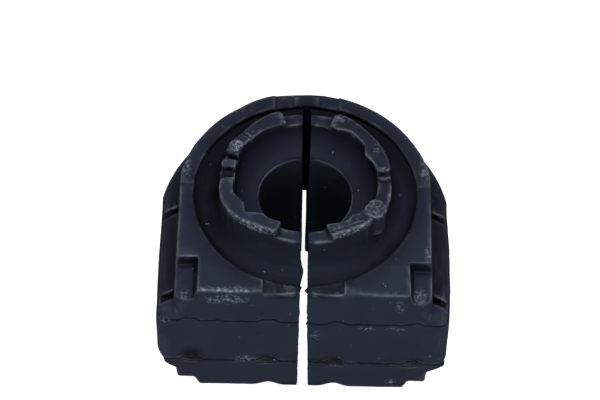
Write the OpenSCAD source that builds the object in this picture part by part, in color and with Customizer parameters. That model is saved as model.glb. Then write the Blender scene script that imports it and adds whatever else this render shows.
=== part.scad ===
// Sway bar bushing: one moulded rubber block that a saddle bracket holds on a sway bar.
// Z runs along the bore, the flat base faces -Y, and the origin is the middle of the bore.
// Each end has a dished face and a notched collar that widens to a funnel over the bore.

/* [Bore] */
// bore diameter, the size of the bar that is gripped
bore_d = 22; // [19:0.5:23]
// distance between the two bore edges
bore_len = 37.8; // [36.6:0.2:38.4]

/* [Block] */
// length of the block between its two flat end faces
body_len = 40; // [39.6:0.2:41]
// radius of the round back at the end faces
arch_r = 30; // [29.6:0.1:30.6]
// half the width of the block at the end faces
side_w = 29.55; // [29.2:0.05:29.6]
// distance from the bore axis to the flat base
base_y = 28.95; // [28.6:0.05:29.4]
// how far the moulded walls lean in from the parting lines to the end faces
draft = 0.85; // [0.4:0.05:1.1]
// height of the two parting lines above and below the middle
parting_z = 8.5; // [7.5:0.1:9]
// rounding of the upright corners between the base and the sides
corner_r = 2.6; // [1.5:0.1:3.4]

/* [Saddle band] */
// half the width of the wide band across its flat sides
band_w = 34.2; // [33.4:0.1:34.6]
// radius of the wide band around the back
band_r = 35.1; // [34.8:0.1:35.6]
// height at which the sloping shoulder of the band meets the narrow wall
shoulder_z = 12.3; // [11.4:0.1:13]
// upright part of the band edge above the parting line
band_lip = 0.4; // [0.2:0.1:0.8]
// width of the cross slots in the shoulder
slot_w = 2.2; // [1.6:0.1:2.6]
// place of the slot where the round back ends
slot_back_y = 0.4; // [-1:0.1:1.2]
// place of the slot just behind the base
slot_base_y = -23.9; // [-24.4:0.1:-23]
// height of the slot floor
slot_floor_z = 9.1; // [8.9:0.1:10.5]

/* [End face] */
// outer radius of the dish around the collar
dish_r = 26.45; // [26:0.05:26.8]
// depth of the dish below the end face
dish_depth = 1.5; // [1.1:0.1:1.9]
// how far the back of the end face stands above its front
arch_step = 0.3; // [0.15:0.05:0.5]
// place where the raised back of the end face begins
arch_step_y = 2.4; // [1.6:0.1:3.2]
// half the width of the sunk field at the top of the back
crown_w = 7.7; // [6.5:0.1:9]
// half the width of the small tab in that field
tab_w = 3.2; // [2.4:0.1:4]
// distance from the middle to the inner wall of the corner notches
notch_x = 24.7; // [24:0.1:25.6]
// place of the back wall of the corner notches
notch_y = -19.1; // [-20.5:0.1:-18]
// depth of the corner notches below the end face
notch_depth = 3.5; // [2.6:0.1:4.2]
// half the width of the run-out from the dish to the base
runout_w = 8.9; // [8:0.1:9.6]

/* [Collar] */
// outer radius of the collar at its rim
collar_r = 20.1; // [19.6:0.1:20.6]
// inner radius of the collar at its rim
funnel_r = 16.6; // [15.9:0.1:17.2]
// height of the low rim parts above the middle of the bore
rim_z = 26.7; // [25.9:0.1:27.5]
// height of the raised rim parts above the low ones
rim_step = 2.3; // [1.6:0.1:2.8]
// lean of the upper rim toward the slit, in degrees
rim_lean = 4.8; // [3:0.1:5.2]

/* [Slit] */
// gap of the slit through the base at the upper end face
slit_top = 1.7; // [1.2:0.1:2.4]
// gap of the slit through the base at the lower end face
slit_bottom = 2.6; // [1.8:0.1:3.2]
// gap of the slot opposite the slit at the upper end face
back_top = 1.8; // [1.2:0.1:2.2]
// gap of the slot opposite the slit at the lower end face
back_bottom = 0.9; // [0.7:0.1:1.6]
// distance from the bore axis to the hinge wall left behind that slot
hinge_y = 26.4; // [25:0.1:27.4]
// height below which the slot also opens the outer wall
hinge_z = -14.2; // [-15.5:0.1:-13]

/* [Hidden] */
$fn = 128;
rubber = [0.20, 0.21, 0.24];
end_z = body_len / 2;
bore_z = bore_len / 2;
far = 60;
face_y = base_y - draft;
wall_w = side_w + draft;

// rim parts from the back of the bush round to the slit: start, end, height step above the low rim
RIM_UPPER = [
  [3, 70, rim_step - 0.3], [107.5, 141, rim_step - 0.3], [141, 163, rim_step], [163, 174, rim_step - 0.5],
  [186, 250.5, rim_step], [287, 328, rim_step], [328, 363, -1.5]
];
RIM_LOWER = [
  [3, 70, rim_step], [107.5, 174, rim_step], [186, 250.5, rim_step], [287, 338, rim_step]
];

// outline drawn in X and Z, pushed through the block along Y from y0 to y1
module through_y(y0, y1) {
  translate([0, y1, 0]) rotate([90, 0, 0]) linear_extrude(y1 - y0) children();
}

// outline drawn in Y and Z, pushed through the block along X
module through_x(half) {
  rotate([90, 0, 90]) translate([0, 0, -half]) linear_extrude(2 * half) children();
}

// flat wedge seen from above, from one angle to another
module wedge(a0, a1, r) {
  n = ceil((a1 - a0) / 30);
  polygon(concat([[0, 0]], [for (i = [0:n]) let(a = a0 + (a1 - a0) * i / n) [r * cos(a), r * sin(a)]]));
}

// walls that lean in above and below the parting lines: half widths and front line
module drafted_walls(w, lip) {
  through_y(-far, far)
    polygon([[w, parting_z], [w - lip, end_z + 1], [-w + lip, end_z + 1], [-w, parting_z],
             [-w, -parting_z], [-w + lip, -end_z - 1], [w - lip, -end_z - 1], [w, -parting_z]]);
}

module drafted_front() {
  through_x(far)
    polygon([[-base_y, -parting_z], [-base_y, parting_z], [-face_y, end_z], [-face_y, end_z + 1],
             [far, end_z + 1], [far, -end_z - 1], [-face_y, -end_z - 1], [-face_y, -end_z]]);
}

// plan outline of a straight block with its two front corners rounded
module plan(w, r) {
  translate([-w, -base_y + r]) square([2 * w, base_y - r]);
  translate([-w + r, -base_y]) square([2 * (w - r), base_y]);
  for (s = [-1, 1]) translate([s * (w - r), -base_y + r]) circle(r);
}

// narrow block with the round back, as long as the bush between its end faces
module end_block() {
  intersection() {
    union() {
      for (s = [0, 1]) mirror([0, 0, s]) {
        cylinder(r = arch_r + draft, h = parting_z + 0.01);
        translate([0, 0, parting_z]) cylinder(r1 = arch_r + draft, r2 = arch_r, h = end_z - parting_z);
      }
      translate([0, 0, -end_z]) linear_extrude(body_len) plan(wall_w, corner_r - 0.8);
    }
    drafted_walls(wall_w, draft);
    drafted_front();
  }
}

// wide band round the middle with sloping shoulders and the cross slots
module saddle_band() {
  edge = parting_z + band_lip;
  difference() {
    intersection() {
      union() {
        rotate_extrude() polygon([[0, -shoulder_z], [arch_r + 0.3, -shoulder_z], [band_r - 0.5, -edge - 0.4],
          [band_r, -edge + 0.3], [band_r, edge - 0.3], [band_r - 0.5, edge + 0.4],
          [arch_r + 0.3, shoulder_z], [0, shoulder_z]]);
        translate([0, 0, -shoulder_z]) linear_extrude(2 * shoulder_z) plan(band_w, corner_r);
      }
      through_y(-far, far)
        polygon([[side_w + 0.6, shoulder_z], [band_w - 0.6, edge + 0.5], [band_w, edge - 0.3],
          [band_w, -edge + 0.3], [band_w - 0.6, -edge - 0.5], [side_w + 0.6, -shoulder_z],
          [-side_w - 0.6, -shoulder_z], [-band_w + 0.6, -edge - 0.5], [-band_w, -edge + 0.3],
          [-band_w, edge - 0.3], [-band_w + 0.6, edge + 0.5], [-side_w - 0.6, shoulder_z]]);
      drafted_front();
    }
    for (s = [-1, 1], t = [0, 1], y = [slot_back_y, slot_base_y])
      mirror([0, 0, t]) translate([s * (side_w + 5.6), y, slot_floor_z + 5])
        cube([10, slot_w, 10], center = true);
  }
}

// dish ring and run-out, cut from above into the end face
module dish_cut() {
  floor_z = end_z - dish_depth;
  rotate_extrude() polygon([[collar_r, 40], [collar_r, end_z + 4], [collar_r + 0.2, end_z + 1.6],
    [collar_r + 0.8, end_z + 0.1], [collar_r + 1.7, floor_z + 0.5], [collar_r + 2.9, floor_z + 0.15],
    [dish_r - 1.9, floor_z], [dish_r - 0.8, floor_z + 0.1], [dish_r - 0.25, floor_z + 0.5],
    [dish_r, end_z - 0.3], [dish_r, 40]]);
  through_y(-far, -23.6) for (s = [-1, 1]) scale([s, 1])
    polygon([[runout_w, 40], [runout_w, floor_z + 0.6], [runout_w - 0.7, floor_z + 0.15],
      [runout_w - 1.5, floor_z], [runout_w - 2.9, floor_z + 0.35], [runout_w - 4.2, floor_z + 0.9],
      [runout_w - 5.4, end_z - 0.1], [runout_w - 5.8, 40]]);
}

// corner notches at both sides of the base
module notch_cut() {
  for (s = [-1, 1]) scale([s, 1, 1]) translate([0, 0, end_z - notch_depth]) linear_extrude(10) {
    translate([notch_x, notch_y - 30 - 1.3]) square([20, 30]);
    translate([notch_x + 1.3, notch_y - 10]) square([20, 10]);
    translate([notch_x + 1.3, notch_y - 1.3]) circle(1.3);
  }
}

// raised back of the end face, with the sunk field and the tab over the hinge
module arch_face() {
  linear_extrude(end_z + arch_step) difference() {
    intersection() {
      circle(arch_r);
      translate([-side_w, arch_step_y]) square([2 * side_w, far]);
    }
    circle(dish_r);
    translate([-crown_w, 0]) square([2 * crown_w, far]);
  }
  linear_extrude(end_z + arch_step) intersection() {
    difference() {
      circle(arch_r - 0.6);
      circle(dish_r + 0.2);
    }
    translate([-tab_w, 0]) square([2 * tab_w, far]);
  }
}

// ring of the collar before its funnel is cut, one wedge for each rim part
module collar_stock(lean, parts) {
  intersection() {
    cylinder(r = collar_r + 3, h = 40);
    union() {
      rotate([-lean, 0, 0]) translate([0, 0, 5 - far]) linear_extrude(rim_z - 5 + far) circle(far / 2);
      for (p = parts) if (p[2] > 0) intersection() {
        linear_extrude(40) wedge(p[0], p[1], 30);
        rotate([-lean, 0, 0]) linear_extrude(rim_z + p[2]) circle(far / 2);
      }
    }
  }
}

// parts of the rim that are lower than the rest
module rim_dips(lean, parts) {
  for (p = parts) if (p[2] < 0) intersection() {
    linear_extrude(40) wedge(p[0], p[1], 30);
    rotate([-lean, 0, 0]) translate([0, 0, rim_z + p[2]]) cylinder(r = far / 2, h = 20);
  }
}

// bowl from the rim down to the bore edge
module funnel_cut() {
  r = bore_d / 2;
  rotate_extrude() polygon([[0, bore_z], [r, bore_z], [r + 1.3, bore_z + 0.15], [r + 2.6, bore_z + 0.8],
    [funnel_r - 1.9, bore_z + 1.8], [funnel_r - 1.1, bore_z + 3.3], [funnel_r - 0.6, bore_z + 5.1],
    [funnel_r - 0.1, rim_z], [funnel_r + 0.1, 40], [0, 40]]);
}

// slit through the base and moulded slot opposite to it
module slits() {
  through_y(-far, -5) polygon([[-slit_top / 2, 40], [slit_top / 2, 40], [slit_top / 2, end_z],
    [slit_bottom / 2, -end_z], [slit_bottom / 2, -40], [-slit_bottom / 2, -40],
    [-slit_bottom / 2, -end_z], [-slit_top / 2, end_z]]);
  through_y(5, hinge_y) back_slot();
  intersection() {
    through_y(5, far) back_slot();
    translate([-5, 0, hinge_z - 40]) cube([10, far, 40]);
  }
}

module back_slot() {
  polygon([[-back_top / 2, 40], [back_top / 2, 40], [back_top / 2, end_z], [back_bottom / 2, -end_z],
    [back_bottom / 2, -40], [-back_bottom / 2, -40], [-back_bottom / 2, -end_z], [-back_top / 2, end_z]]);
}

// round marks left by the mould on the upper rim: place in x and y, radius, top height
module rim_pips() {
  for (p = [[-16.3, 7.3, 1.8, 29], [16.1, -10.9, 2.4, 29.8]])
    translate([p[0], p[1], end_z]) cylinder(r = p[2], h = p[3] - end_z);
}

module bushing() {
  color(rubber) difference() {
    union() {
      difference() {
        union() {
          end_block();
          saddle_band();
          for (s = [0, 1]) mirror([0, 0, s]) arch_face();
          collar_stock(rim_lean, RIM_UPPER);
          mirror([0, 0, 1]) collar_stock(0, RIM_LOWER);
        }
        for (s = [0, 1]) mirror([0, 0, s]) {
          dish_cut();
          notch_cut();
        }
        rim_dips(rim_lean, RIM_UPPER);
      }
      rim_pips();
    }
    for (s = [0, 1]) mirror([0, 0, s]) funnel_cut();
    cylinder(r = bore_d / 2, h = bore_len + 2, center = true);
    slits();
  }
}

bushing();
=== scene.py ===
import math

import bpy
import numpy as np
from mathutils import Matrix, Vector


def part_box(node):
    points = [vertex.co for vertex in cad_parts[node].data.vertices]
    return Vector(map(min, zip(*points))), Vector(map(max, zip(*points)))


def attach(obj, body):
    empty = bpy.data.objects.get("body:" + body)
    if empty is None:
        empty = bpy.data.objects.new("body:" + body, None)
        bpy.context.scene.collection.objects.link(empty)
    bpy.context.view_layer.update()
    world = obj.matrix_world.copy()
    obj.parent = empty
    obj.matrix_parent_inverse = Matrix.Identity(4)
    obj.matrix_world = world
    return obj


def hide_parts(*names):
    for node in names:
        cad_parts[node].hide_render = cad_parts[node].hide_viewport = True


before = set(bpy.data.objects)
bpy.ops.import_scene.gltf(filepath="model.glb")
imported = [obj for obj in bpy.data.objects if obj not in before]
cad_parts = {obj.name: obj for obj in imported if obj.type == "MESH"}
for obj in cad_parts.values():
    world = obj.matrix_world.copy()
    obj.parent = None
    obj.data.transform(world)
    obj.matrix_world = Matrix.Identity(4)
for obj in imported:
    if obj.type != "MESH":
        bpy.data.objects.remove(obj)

bl_info = {
    "name": "Sway bar bushing",
    "version": (1, 0, 0),
    "blender": (4, 5, 0),
    "location": "3D View > Sidebar > Bushing",
    "description": "Builds a moulded rubber sway bar bushing on its packed frame",
    "category": "Add Mesh",
}

MM = 0.001
AWAY = 9.0  # a distance in millimetres that stands for a wall that isn't there
TRIANGLES = 196000
LOW, HIGH = (Vector(corner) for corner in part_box("bushing"))


def length(name, text, value_mm):
    """A size in metres, shown with its unit and given here in millimetres."""
    return bpy.props.FloatProperty(name=name, description=text, default=value_mm * MM,
                                   unit="LENGTH", precision=5)


def share(name, text, value):
    """A plain factor from nothing to one."""
    return bpy.props.FloatProperty(name=name, description=text, default=value, min=0.0, max=1.0)


def colour(name, text, value):
    """A linear colour with its alpha."""
    return bpy.props.FloatVectorProperty(name=name, description=text, default=(*value, 1.0),
                                         size=4, subtype="COLOR", min=0.0, max=1.0)


class BushingSizes(bpy.types.PropertyGroup):
    """Sizes of the moulded block, the same as those of the solid."""
    bore_r: length("Bore radius", "Radius of the bore that grips the bar", 11.0)
    bore_z: length("Bore edge", "Height of the bore edge from the middle", 18.9)
    end_z: length("End face", "Height of the flat end face from the middle", 20.0)
    arch_r: length("Back radius", "Radius of the round back at the end face", 30.0)
    side_w: length("Half width", "Half the width of the block at the end face", 29.55)
    base_y: length("Base", "Distance from the bore axis to the flat base", 28.95)
    draft: length("Draft", "How far the walls lean in up to the end face", 0.85)
    parting_z: length("Parting line", "Height of the parting lines from the middle", 8.5)
    corner_r: length("Corner", "Rounding of the upright corners of the band", 2.6)
    band_w: length("Band half width", "Half the width of the saddle band", 34.3)
    band_r: length("Band radius", "Radius of the saddle band round the back", 35.1)
    shoulder_z: length("Shoulder", "Height where the shoulder meets the narrow wall", 12.3)
    slot_w: length("Cross slot", "Width of the cross slots in the shoulder", 2.2)
    slot_floor_z: length("Slot floor", "Height of the floor of the cross slots", 9.1)
    dish_r: length("Dish radius", "Outer radius of the dish round the collar", 26.45)
    dish_depth: length("Dish depth", "Depth of the dish below the end face", 1.5)
    arch_step: length("Back step", "How far the back of the end face is raised", 0.35)
    notch_x: length("Notch side", "Inner wall of the corner notches", 24.7)
    notch_y: length("Notch back", "Distance from the bore axis to the back wall of the notches", 19.1)
    notch_depth: length("Notch depth", "Depth of the corner notches", 3.5)
    runout_w: length("Run-out", "Half the width of the run-out from the dish to the base", 8.9)
    collar_r: length("Collar radius", "Outer radius of the collar rim", 20.1)
    funnel_r: length("Funnel radius", "Inner radius of the collar rim", 16.6)
    rim_z: length("Rim", "Height of the low rim parts from the middle", 26.7)
    rim_step: length("Rim step", "Height of the raised rim parts above the low ones", 2.3)
    slit_top: length("Slit, top", "Gap of the slit at the upper end face", 1.7)
    slit_bottom: length("Slit, bottom", "Gap of the slit at the lower end face", 2.6)
    back_top: length("Back slot, top", "Gap of the moulded slot at the upper end face", 1.8)
    back_bottom: length("Back slot, bottom", "Gap of the moulded slot at the lower end face", 0.9)
    hinge_y: length("Hinge", "Distance from the bore axis to the hinge wall", 26.4)
    mesh_step: length("Mesh step", "Spacing of the grid that the surface is drawn from", 0.3)
    rim_lean: bpy.props.FloatProperty(name="Rim lean", description="Lean of the upper rim toward the slit",
                                      default=math.radians(4.8), subtype="ANGLE")


class BushingFinish(bpy.types.PropertyGroup):
    """Colours and wear of the rubber, its painted shade and painted highlights, and the stage."""
    rubber: colour("Rubber", "Colour of the moulded skin", (0.0114, 0.0141, 0.0249))
    # Painted shade: this dark colour stands for occlusion and shading in hollows and grooves, and at the
    # back of the rim.
    hollow: colour("Painted shade", "Colour of the skin in the dish and the bowl",
                   (0.0022, 0.0029, 0.0053))
    bore: colour("Bore", "Colour of the rubber in the bore", (0.0120, 0.0172, 0.0240))
    cut: colour("Cut rubber", "Colour of the torn faces of the slit", (0.0080, 0.0090, 0.0130))
    # The pale colour is talc, scuffs and torn rubber, and also a painted highlight on convex edges and in
    # some patches.
    pale: colour("Talc and highlight", "Colour of talc and scuffed rubber", (0.150, 0.170, 0.205))
    floor: colour("Floor", "Colour of the floor", (0.35, 0.35, 0.35))
    roughness: share("Roughness", "Roughness of the moulded skin", 0.6)
    gloss: share("Gloss", "Strength of the reflections on the skin", 0.025)
    # Pale edges are a painted highlight; pale torn places are real wear.
    wear: share("Wear and edge highlight", "How pale the edges and the torn places are", 0.46)
    # Some of the pale patches are painted highlights.
    talc_and_highlight: share("Talc and highlight amount", "Strength of the pale marks", 0.8)
    grain: length("Grain", "Size of the grain of the skin", 0.6)
    flash: length("Flash", "How far the flash stands out at the parting lines", 0.38)


class Grid:
    """Sample points in millimetres, with the turn round the bore and the height from the middle."""

    def __init__(self, x, y, z):
        self.x, self.y, self.z = x, y, z
        self.r = np.hypot(x, y)
        self.h = np.abs(z)
        self.turn = np.degrees(np.arctan2(y, x)) % 360.0
        self.upper = z > 0


def meet(a, b, r):
    """Common part of two forms, its outer edge rounded by r."""
    return np.minimum(np.maximum(a, b), -r) + np.hypot(np.maximum(a + r, 0), np.maximum(b + r, 0))


def join(a, b, r):
    """Both forms together, the inner corner filled by radius r."""
    return -meet(-a, -b, r)


def cut(form, tool, r):
    """The form without the tool, the new edge rounded by r."""
    return meet(form, -tool, r)


def bump(value, middle, width):
    """Soft hill of height one."""
    return np.exp(-((value - middle) / width) ** 2)


def ramp(value, start, end):
    """Nothing before start, one after end."""
    return np.clip((value - start) / (end - start), 0, 1)


def waves(p, size, seed):
    """Soft unevenness between about minus one and one, the same on each run."""
    rng = np.random.RandomState(seed)
    total = 0.0
    for _ in range(5):
        way = rng.normal(size=3)
        way *= rng.uniform(0.7, 1.4) * 2 * math.pi / (size * np.linalg.norm(way))
        total = total + np.sin(p.x * way[0] + p.y * way[1] + p.z * way[2] + rng.uniform(0, 6.3))
    return total / 2.6


class Shape:
    """The sizes in millimetres, read once from the panel."""

    def __init__(self, sizes, finish):
        for name in BushingSizes.__annotations__:
            setattr(self, name, getattr(sizes, name) / MM)
        self.rim_lean = sizes.rim_lean
        self.flash = finish.flash / MM
        self.rim_mid = (self.collar_r + self.funnel_r) / 2
        self.rim_half = (self.collar_r - self.funnel_r) / 2
        self.floor_z = self.end_z - self.dish_depth


# Mould marks and damage, chosen one by one. Lengths in millimetres, turns round the bore in degrees.
# Raised rim parts: start, end, and height above the plain raised parts.
RIM_UPPER = [(3, 70, -0.3), (107.5, 163, -0.2), (168, 175.5, -0.5), (187, 250.5, 0.0), (287, 329, 0.0)]
RIM_LOWER = [(3, 70, 0.0), (107.5, 174, 0.0), (186, 250.5, 0.0), (287, 338, 0.0)]
RIM_DIP = (331, 365, 0.9)  # start, end and depth
RIM_CRACK = 141.7
RIM_FLAP = (299.5, 12)  # middle and half its turn
# Radii of the outer and inner edge of the upper rim at turns round the bore.
RIM_OUTER = [
    (0, 19.9), (12, 19.9), (38, 19.6), (48, 19.8), (57, 20.2), (63, 20.3), (70, 20.0), (107, 20.0),
    (114, 20.4), (124, 20.0), (141, 19.4), (150, 19.8), (180, 20.0), (189, 20.2), (195, 20.8),
    (201, 21.3), (207, 21.65), (215, 21.7), (221, 21.4), (228, 20.8), (236, 20.2), (244, 19.85),
    (256, 19.8), (270, 20.1), (287, 20.2), (300, 20.4), (307, 20.8), (313, 21.1), (326, 20.7),
    (342, 20.5), (357, 20.1), (360, 19.9)]
RIM_INNER = [
    (0, 16.9), (5, 16.5), (12, 16.1), (18, 15.5), (23, 15.1), (26, 15.3), (33, 16.3), (44, 16.5),
    (51, 16.7), (57, 16.2), (62, 15.5), (70, 15.8), (75, 16.5), (106, 16.5), (110, 16.0),
    (116, 16.0), (126, 16.3), (140, 16.3), (145, 16.6), (184, 16.6), (188, 16.9), (193, 17.3),
    (198, 17.7), (202, 18.1), (209, 17.6), (215, 17.3), (219, 18.0), (222, 18.8), (224, 18.5),
    (228, 17.3), (234, 16.3), (240, 16.7), (249, 16.4), (254, 16.7), (286, 16.7), (294, 17.0),
    (301, 17.5), (306, 17.4), (310, 16.9), (314, 17.5), (326, 17.6), (341, 17.3), (357, 17.3),
    (360, 16.9)]
# Round marks on the rim: x, y, radius and top.
PIPS = [(-16.3, 7.3, 1.8, 29.0), (16.2, -11.2, 2.55, 30.4)]
SLOTS = (0.4, -23.9)  # y of the cross slots
# Steps of the parting lines: x and half width. Dents above the lower one: x, half width, height, depth.
LUMPS = [(-26.3, 2.0), (-8.3, 2.1), (8.0, 1.9), (26.2, 1.7)]
DENTS = [(-26.2, 2.3, 5.2, 0.3), (-8.2, 2.3, 3.4, 0.12), (7.2, 3.6, 3.0, 0.2), (26.9, 1.4, 2.2, 0.15)]
LUMP_RISE = (0.9, 1.35)  # upper and lower line
# Burrs in the slit: side, y, z, reach and size.
BURRS = [(-1, -21.5, 18.6, 0.75, 2.1), (-1, -25.8, 18.8, 0.5, 0.8), (1, -27.4, 20.0, 0.9, 0.5),
         (1, -28.9, 15.2, 0.25, 0.6), (1, -28.9, 12.6, 0.35, 0.8), (1, -28.9, 10.4, 0.25, 0.5),
         (1, -28.9, 8.2, 0.4, 0.5), (-1, -28.8, 12.0, 0.2, 1.6)]
SWELL = (0.42, 0.15)  # right and left side
CORNER_DROOP = 1.0
COLLAR_FLARE = 2.1
RUNOUT_DEPTHS = (0.85, 1.75)  # upper and lower end
NOTCH_SHIFT = 0.6
SLIT_SHIFT = 0.38
HINGE_LOW = -14.2  # z where the hinge opposite the slit ends
BORE_LIP = 0.2


def plateau(value, middle, half, edge):
    """One between middle - half and middle + half, with soft edges."""
    return ramp(half + edge - np.abs(value - middle), 0, 2 * edge)


def parting_lines(p, s):
    """Heights above the plain and above the stepped run of the parting line, and where it steps."""
    front = ramp(-p.y, 18, 24)
    lift = sum(plateau(p.x, x, half, 0.8) for x, half in LUMPS) * front
    right = 0.35 * ramp(p.x, -1, 2) * front
    drift = 0.12 * np.sin(0.9 * p.x + 0.4 * p.y) + 0.08 * np.sin(2.3 * p.x + 1.9 * p.y + 1.0)
    low = p.z - np.where(p.upper, s.parting_z, 0.3 - s.parting_z) + right - drift
    return low, low - np.where(p.upper, *LUMP_RISE) * lift, lift


def parting_marks(p, s):
    """Wavy groove with flash beside it at both parting lines, added to the outer walls."""
    front = ramp(-p.y, 18, 24)
    low, off, lift = parting_lines(p, s)
    ragged = np.clip(0.45 + 0.9 * lattice(p.x / 1.3, p.y / 1.3, p.upper * 3.0, 4), 0, 1)
    ragged = ragged * (0.45 + 0.55 * front)
    upper = 0.22 * bump(off, 0.12, 0.23) - s.flash * 0.15 * ragged * bump(off, -0.35, 0.24)
    double = (0.22 + 0.2 * lift) * bump(off, 0.4, 0.25) - s.flash * 0.4 * ragged * bump(off, 0, 0.25)
    double = double + (0.06 + 0.24 * lift) * bump(low, -0.5, 0.25)
    marks = np.where(p.upper, upper, double)
    for x, half, height, depth in DENTS:
        shade = np.where(off > 0, ramp(height - off, 0, height) ** 1.6, ramp(off, -3.4, 0) ** 2)
        marks = marks + np.where(p.upper, 0, depth * plateau(p.x, x, half, 1.0) * front * shade)
    fin = 0.5 * bump(off, 0, 0.5) * bump(np.hypot(p.x - s.band_w, p.y + s.base_y), 0, 1.6)
    return marks - np.where(p.upper, 0, fin)


def outer_walls(p, s):
    """Distance to the side, the round back and the base of the wide band."""
    marks = parting_marks(p, s)
    lean = s.draft * ramp(p.h, s.parting_z, s.end_z)
    swell = np.where(p.x > 0, *SWELL) * plateau(p.y, -12, 11, 5)
    side = np.abs(p.x) - s.band_w - swell + marks
    back = np.where(p.y > 0, p.r - s.band_r, -AWAY) + marks
    base = -p.y - s.base_y + lean + marks
    return side, back, base


def block_form(p, s):
    """Narrow block with its round back, up to the end faces."""
    lean = s.draft * ramp(p.h, s.parting_z, s.end_z)
    side = np.abs(p.x) - (s.side_w + s.draft - lean)
    arch = s.arch_r + 0.12 + 0.35 * plateau(p.turn, 110, 8, 4)
    back = np.where(p.y > 0, p.r - (arch + s.draft - lean), -AWAY)
    raised = ramp(p.y, 2.3, 2.6) * ramp(np.abs(p.x), 7.5, 7.9)
    tab = ramp(3.4 - np.abs(p.x), 0, 0.7) * ramp(p.y, 20, 21) * ramp(29.7 - p.r, 0, 0.8)
    wear = 0.12 * bump(p.turn, 146, 14) + 0.12 * bump(p.turn, 32, 12)
    droop = CORNER_DROOP * ramp(p.x, 13, 21) * ramp(-p.y, 20, 28.5) * p.upper
    top = p.h - s.end_z - s.arch_step * np.maximum(raised, tab) + droop
    return meet(np.maximum(side, back), top, 0.35 + 2.2 * wear)


def band_form(p, s, side, back):
    """Wide band with sloping shoulders and cross slots."""
    outward = np.maximum(side, back)
    edge = s.parting_z + 0.75
    rise = s.shoulder_z - edge
    run = np.where(p.y > 0, s.band_r - s.arch_r - 0.3, s.band_w - s.side_w - 0.6)
    slope = np.hypot(rise, run)
    shoulder = ((p.h - edge) * run + outward * rise) / slope
    form = meet(outward, shoulder, np.where(p.upper | (p.x > 0), 2.0, 3.6))
    form = meet(form, p.h - s.shoulder_z - 0.3, 0.3)
    inner = s.side_w + 0.55 - np.abs(p.x)
    for y in SLOTS:
        slot = np.maximum(np.maximum(np.abs(p.y - y) - s.slot_w / 2, s.slot_floor_z - p.h), inner)
        form = cut(form, slot, 0.3)
    return form


def base_rounding(p, s):
    """Radius of the edges round the base: wide on the upright corners, small at the ends."""
    near_end = ramp(p.h, s.end_z - 3, s.end_z - 0.8)
    under = ramp(-p.z, s.parting_z, s.parting_z + 1.2) * ramp(np.abs(p.x), 27, 29)
    worn = 1.5 * bump(p.x, 9.5, 2.6) * p.upper
    wide = (s.corner_r - 0.2) * (1 - under) + 0.8 * under
    return wide * (1 - near_end) + (0.45 + worn) * near_end


def dish_tool(p, s):
    """Ring hollow round the collar, with the flared foot of the collar left standing."""
    flare = COLLAR_FLARE * ramp(24.2 - p.h, 0, 6.5) ** 2
    foot = s.collar_r + p.upper * (1.4 * bump(p.turn, 211, 20) + 0.7 * bump(p.turn, 311, 14))
    top = rim_radius(p, RIM_OUTER, s.collar_r)
    wall = foot + (top - foot) * ramp(p.h, 21, 25) + flare - p.r
    ring = meet(wall, s.floor_z - p.h, 1.6)
    step_r = 0.5 + 1.5 * ramp(8 - p.y, 0, 12)
    return meet(ring, p.r - s.dish_r, step_r)


def runout_tool(p, s):
    """Shallow channel from the dish to the base at each side of the slit."""
    x = np.abs(p.x)
    upper = RUNOUT_DEPTHS[0] * (1 - bump(x, 0.0, 4.1)) + 0.15
    lower = RUNOUT_DEPTHS[1] * bump(x, 7.8, 2.4) - 0.6 * ramp(x, 11.5, 13)
    floor = s.end_z - np.where(p.upper, upper, lower) - p.h
    channel = np.where(p.upper, meet(x - s.runout_w - 0.5, floor, 0.5), np.maximum(x - 14, floor))
    return meet(channel, p.y + 23.6, 0.3)


def notch_tool(p, s):
    """Open notch at each corner between the base and the side."""
    lean = 0.35 * np.maximum(s.end_z - p.h, 0)
    back = p.y + s.notch_y - np.where(p.x < 0, NOTCH_SHIFT, 0)
    plan = meet(s.notch_x - 0.3 + lean - np.abs(p.x), back, 0.5)
    return meet(plan, s.end_z - s.notch_depth - p.h, 0.5)


def rim_radius(p, edge, plain):
    """Uneven radius of the upper rim, and the plain one of the lower rim."""
    turns, radii = zip(*edge)
    return np.where(p.upper, np.interp(p.turn, turns, radii), plain)


def rim_form(p, s):
    """Ring of the collar with its low, dipped and raised parts."""
    lean = math.sin(s.rim_lean)
    level = p.h + np.where(p.upper, p.y * lean, 0)
    radial = np.maximum(p.r - rim_radius(p, RIM_OUTER, s.collar_r), s.rim_mid - s.rim_half - 3.0 - p.r)
    dip_start, dip_end, dip_depth = RIM_DIP
    dip = dip_depth * ramp(p.turn, dip_start - 3, dip_start) * ramp(dip_end - p.turn, 0, 1.5)
    low = meet(radial, level - s.rim_z + np.where(p.upper, dip, 0), 0.35)
    form = meet(low, s.end_z - 6 - p.h, 0.1)
    for upper, parts in ((True, RIM_UPPER), (False, RIM_LOWER)):
        for start, end, step in parts:
            middle, half = (start + end) / 2, (end - start) / 2
            away = np.abs((p.turn - middle + 180) % 360 - 180) - half
            ends = np.radians(away) * s.rim_mid
            height = level - (s.rim_z + s.rim_step + step)
            part = meet(meet(ends, radial, 1.1), height, 0.45)
            part = meet(part, s.end_z - 5 - p.h, 0.1)
            form = np.where(p.upper == upper, np.minimum(form, part), form)
    below = np.minimum(level - s.rim_z - s.rim_step, 0)
    crack = np.hypot(np.radians(p.turn - RIM_CRACK) * s.rim_mid, 0.5 * below) - 0.32
    lip = p.r - rim_radius(p, RIM_OUTER, s.collar_r) + 0.95
    lip = lip + 0.25 * lattice(p.turn / 2.3, p.z * 0, p.z * 0, 6)
    flap = np.hypot(lip, 0.9 * below) - 0.26
    flap_middle, flap_half = RIM_FLAP
    flap = np.maximum(flap, np.radians(np.abs(p.turn - flap_middle) - flap_half) * s.rim_mid)
    return cut(form, np.where(p.upper, np.minimum(crack, flap), AWAY), 0.15)


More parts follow.
